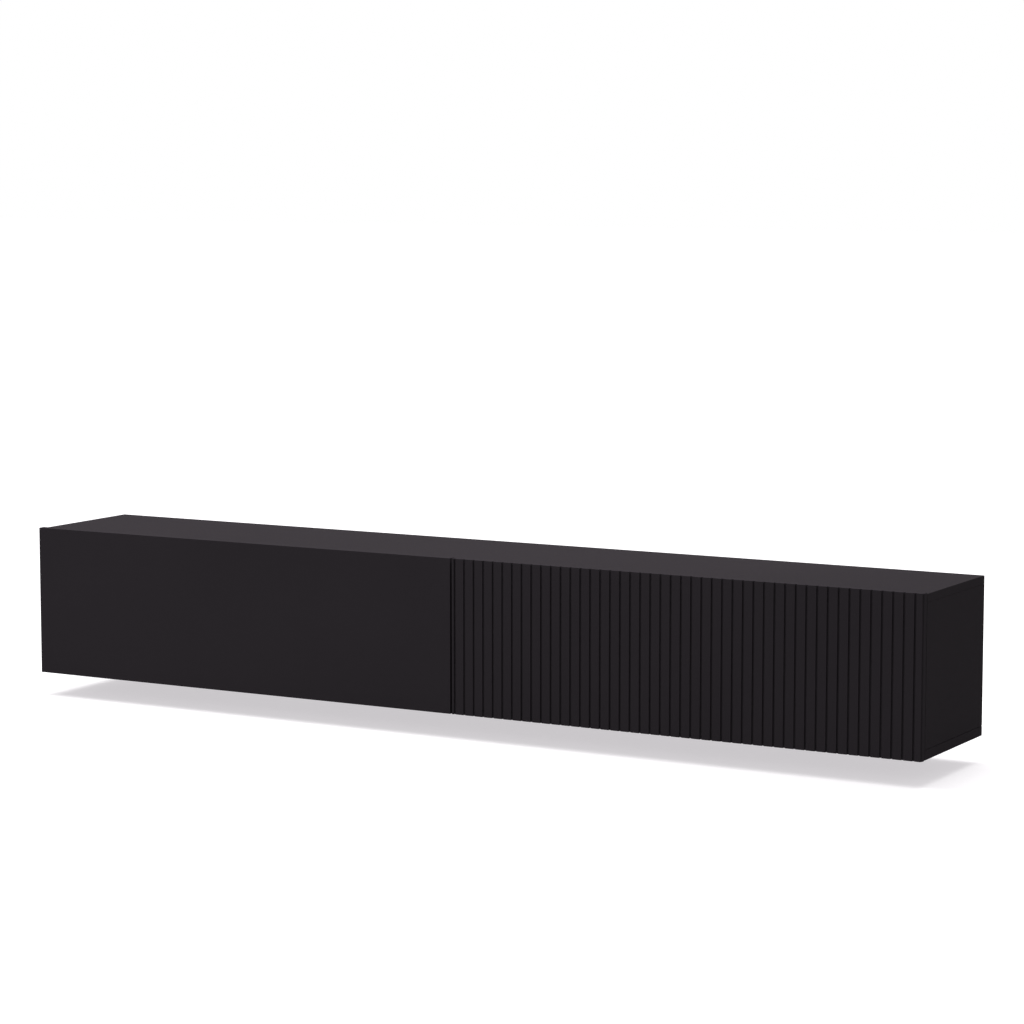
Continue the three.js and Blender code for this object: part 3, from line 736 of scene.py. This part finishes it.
# Hinges
# Pressed steel, nickel-plated: a cup let into the flap, an arm screwed to the cabinet floor and
# cranked over its front edge, and the pin that both turn on. Raised-head screws hold each half.
hinge_steel = metal(
    "hinge_steel",
    colour=(0.62, 0.61, 0.59),
    roughness=0.32,
    stretch=(120.0, 120.0, 120.0),
    depth=0.0000005,
)
cup_edge = 0.0003
arm_edge = 0.0002
arm_corner = 0.0003
pin_edge = 0.00025
hinge_screw_radius = 0.0036
hinge_screw_rise = 0.0007
hinge_screw_inset = 0.007
plate_screw_from_rear = 0.022
cup_margin_above = 0.004
for side, body in (("left", "left_flap"), ("right", "right_flap")):
    plate_screws, cup_screws = bmesh.new(), bmesh.new()
    for number in (1, 2, 3):
        cup, arm, pin = (f"{side}_hinge_{kind}_{number}" for kind in ("cup", "arm", "pin"))
        finish_node(cup, hinge_steel, cup_edge, even=True)
        finish_node(arm, hinge_steel, arm_edge, join_within=arm_corner, even=True)
        finish_node(pin, hinge_steel, pin_edge)
        low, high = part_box(arm)
        line = high.y - plate_screw_from_rear
        screw_heads(
            plate_screws,
            [(x, line, high.z) for x in (low.x + hinge_screw_inset, high.x - hinge_screw_inset)],
            (0, 0, 1),
            hinge_screw_radius,
            hinge_screw_rise,
            turn=number,
        )
        low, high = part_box(cup)
        level = (low.z + high.z - cup_margin_above) / 2
        screw_heads(
            cup_screws,
            [(x, high.y, level) for x in (low.x + hinge_screw_inset, high.x - hinge_screw_inset)],
            (0, 1, 0),
            hinge_screw_radius,
            hinge_screw_rise,
            turn=number * 2,
        )
    screws_from(plate_screws, f"{side}_hinge_plate_screws", "cabinet")
    screws_from(cup_screws, f"{side}_hinge_cup_screws", body)


# Flap stays
# A damper sealed in a moulded housing on the board, a flat steel arm on its shaft, a link to a
# bracket on the flap. Two screws hold each bracket and two the housing, beside its speed dial.
stay_steel = metal(
    "stay_steel",
    colour=(0.32, 0.32, 0.33),
    roughness=0.33,
    stretch=(260.0, 260.0, 260.0),
    depth=0.000001,
)
stay_edge = 0.0004
stay_arm_flatness = 1.5
housing_edge = 0.0008
housing_thickness = 0.014
housing_screw_from_rear = 0.013
housing_screw_offset = 0.0105
housing_screw_radius = 0.0034
housing_screw_rise = 0.0011
dial_from_rear = 0.036
dial_radius = 0.0075
dial_rise = 0.0009
dial_profile = (
    (0, 0),
    (dial_radius, 0),
    (dial_radius, dial_rise * 0.6),
    (dial_radius * 0.94, dial_rise),
    (dial_radius * 0.74, dial_rise),
    (dial_radius * 0.68, dial_rise * 0.5),
    (dial_radius * 0.3, dial_rise * 0.5),
    (dial_radius * 0.26, dial_rise),
    (0, dial_rise),
)
bracket_thickness = 0.002
bracket_half_width = 0.0115
bracket_screw_offset = 0.0165
bracket_screw_radius = 0.0038
bracket_screw_rise = 0.0012
stays = (
    ("left_outer", 1, "left_flap"),
    ("left_inner", -1, "left_flap"),
    ("right_inner", 1, "right_flap"),
    ("right_outer", -1, "right_flap"),
)
for stay, inward, body in stays:
    finish_node(f"{stay}_stay_housing", dark_plastic, housing_edge, full=True)
    finish_node(
        f"{stay}_stay_arm", stay_steel, stay_edge, flat_within=stay_arm_flatness, even=True
    )
    finish_node(f"{stay}_stay_link", stay_steel, stay_edge, even=True)
    finish_node(f"{stay}_stay_bracket", stay_steel, stay_edge, full=True)

    # On the housing: two screws and the damper's speed dial
    low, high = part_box(f"{stay}_stay_housing")
    cover = low.x + housing_thickness if inward > 0 else high.x - housing_thickness
    middle = (low.z + high.z) / 2
    bm = bmesh.new()
    screw_heads(
        bm,
        [
            (cover, high.y - housing_screw_from_rear, middle + offset)
            for offset in (-housing_screw_offset, housing_screw_offset)
        ],
        (inward, 0, 0),
        housing_screw_radius,
        housing_screw_rise,
    )
    screws_from(bm, f"{stay}_stay_housing_screws", "cabinet")
    bm = bmesh.new()
    turned(bm, (cover, high.y - dial_from_rear, middle), (inward, 0, 0), dial_profile, steps=40)
    piece_from(bm, f"{stay}_stay_dial", dark_plastic, "cabinet")

    # On the flap's bracket: two screws through its base
    low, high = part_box(f"{stay}_stay_bracket")
    base_face = low.y + bracket_thickness
    base_middle = high.x - bracket_half_width if inward > 0 else low.x + bracket_half_width
    middle = (low.z + high.z) / 2
    bm = bmesh.new()
    screw_heads(
        bm,
        [
            (base_middle, base_face, middle + offset)
            for offset in (-bracket_screw_offset, bracket_screw_offset)
        ],
        (0, 1, 0),
        bracket_screw_radius,
        bracket_screw_rise,
    )
    screws_from(bm, f"{stay}_stay_bracket_screws", body)


# Push latches
# A moulded housing under the top board holds a sprung plunger with a rounded nose; it meets a steel
# strike plate on the flap's inner face. Two screws hold each housing.
plunger_plastic = moulded_plastic(
    "plunger_plastic", colour=(0.19, 0.193, 0.197), roughness=0.45, grain_depth=0.00001
)
latch_edge = 0.0008
plunger_edge = 0.0003
strike_edge = 0.0003
latch_screw_from_front = 0.03
latch_screw_from_rear = 0.01
latch_screw_radius = 0.003
latch_screw_rise = 0.0009
for side in ("left", "right"):
    for number in (1, 2):
        finish_node(f"{side}_latch_housing_{number}", dark_plastic, latch_edge, full=True)
        finish_node(f"{side}_latch_plunger_{number}", plunger_plastic, plunger_edge)
        finish_node(f"{side}_latch_strike_{number}", hinge_steel, strike_edge)
        low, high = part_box(f"{side}_latch_housing_{number}")
        middle = (low.x + high.x) / 2
        bm = bmesh.new()
        screw_heads(
            bm,
            [
                (middle, low.y + latch_screw_from_front, low.z),
                (middle, high.y - latch_screw_from_rear, low.z),
            ],
            (0, 0, -1),
            latch_screw_radius,
            latch_screw_rise,
        )
        screws_from(bm, f"{side}_latch_screws_{number}", "cabinet")
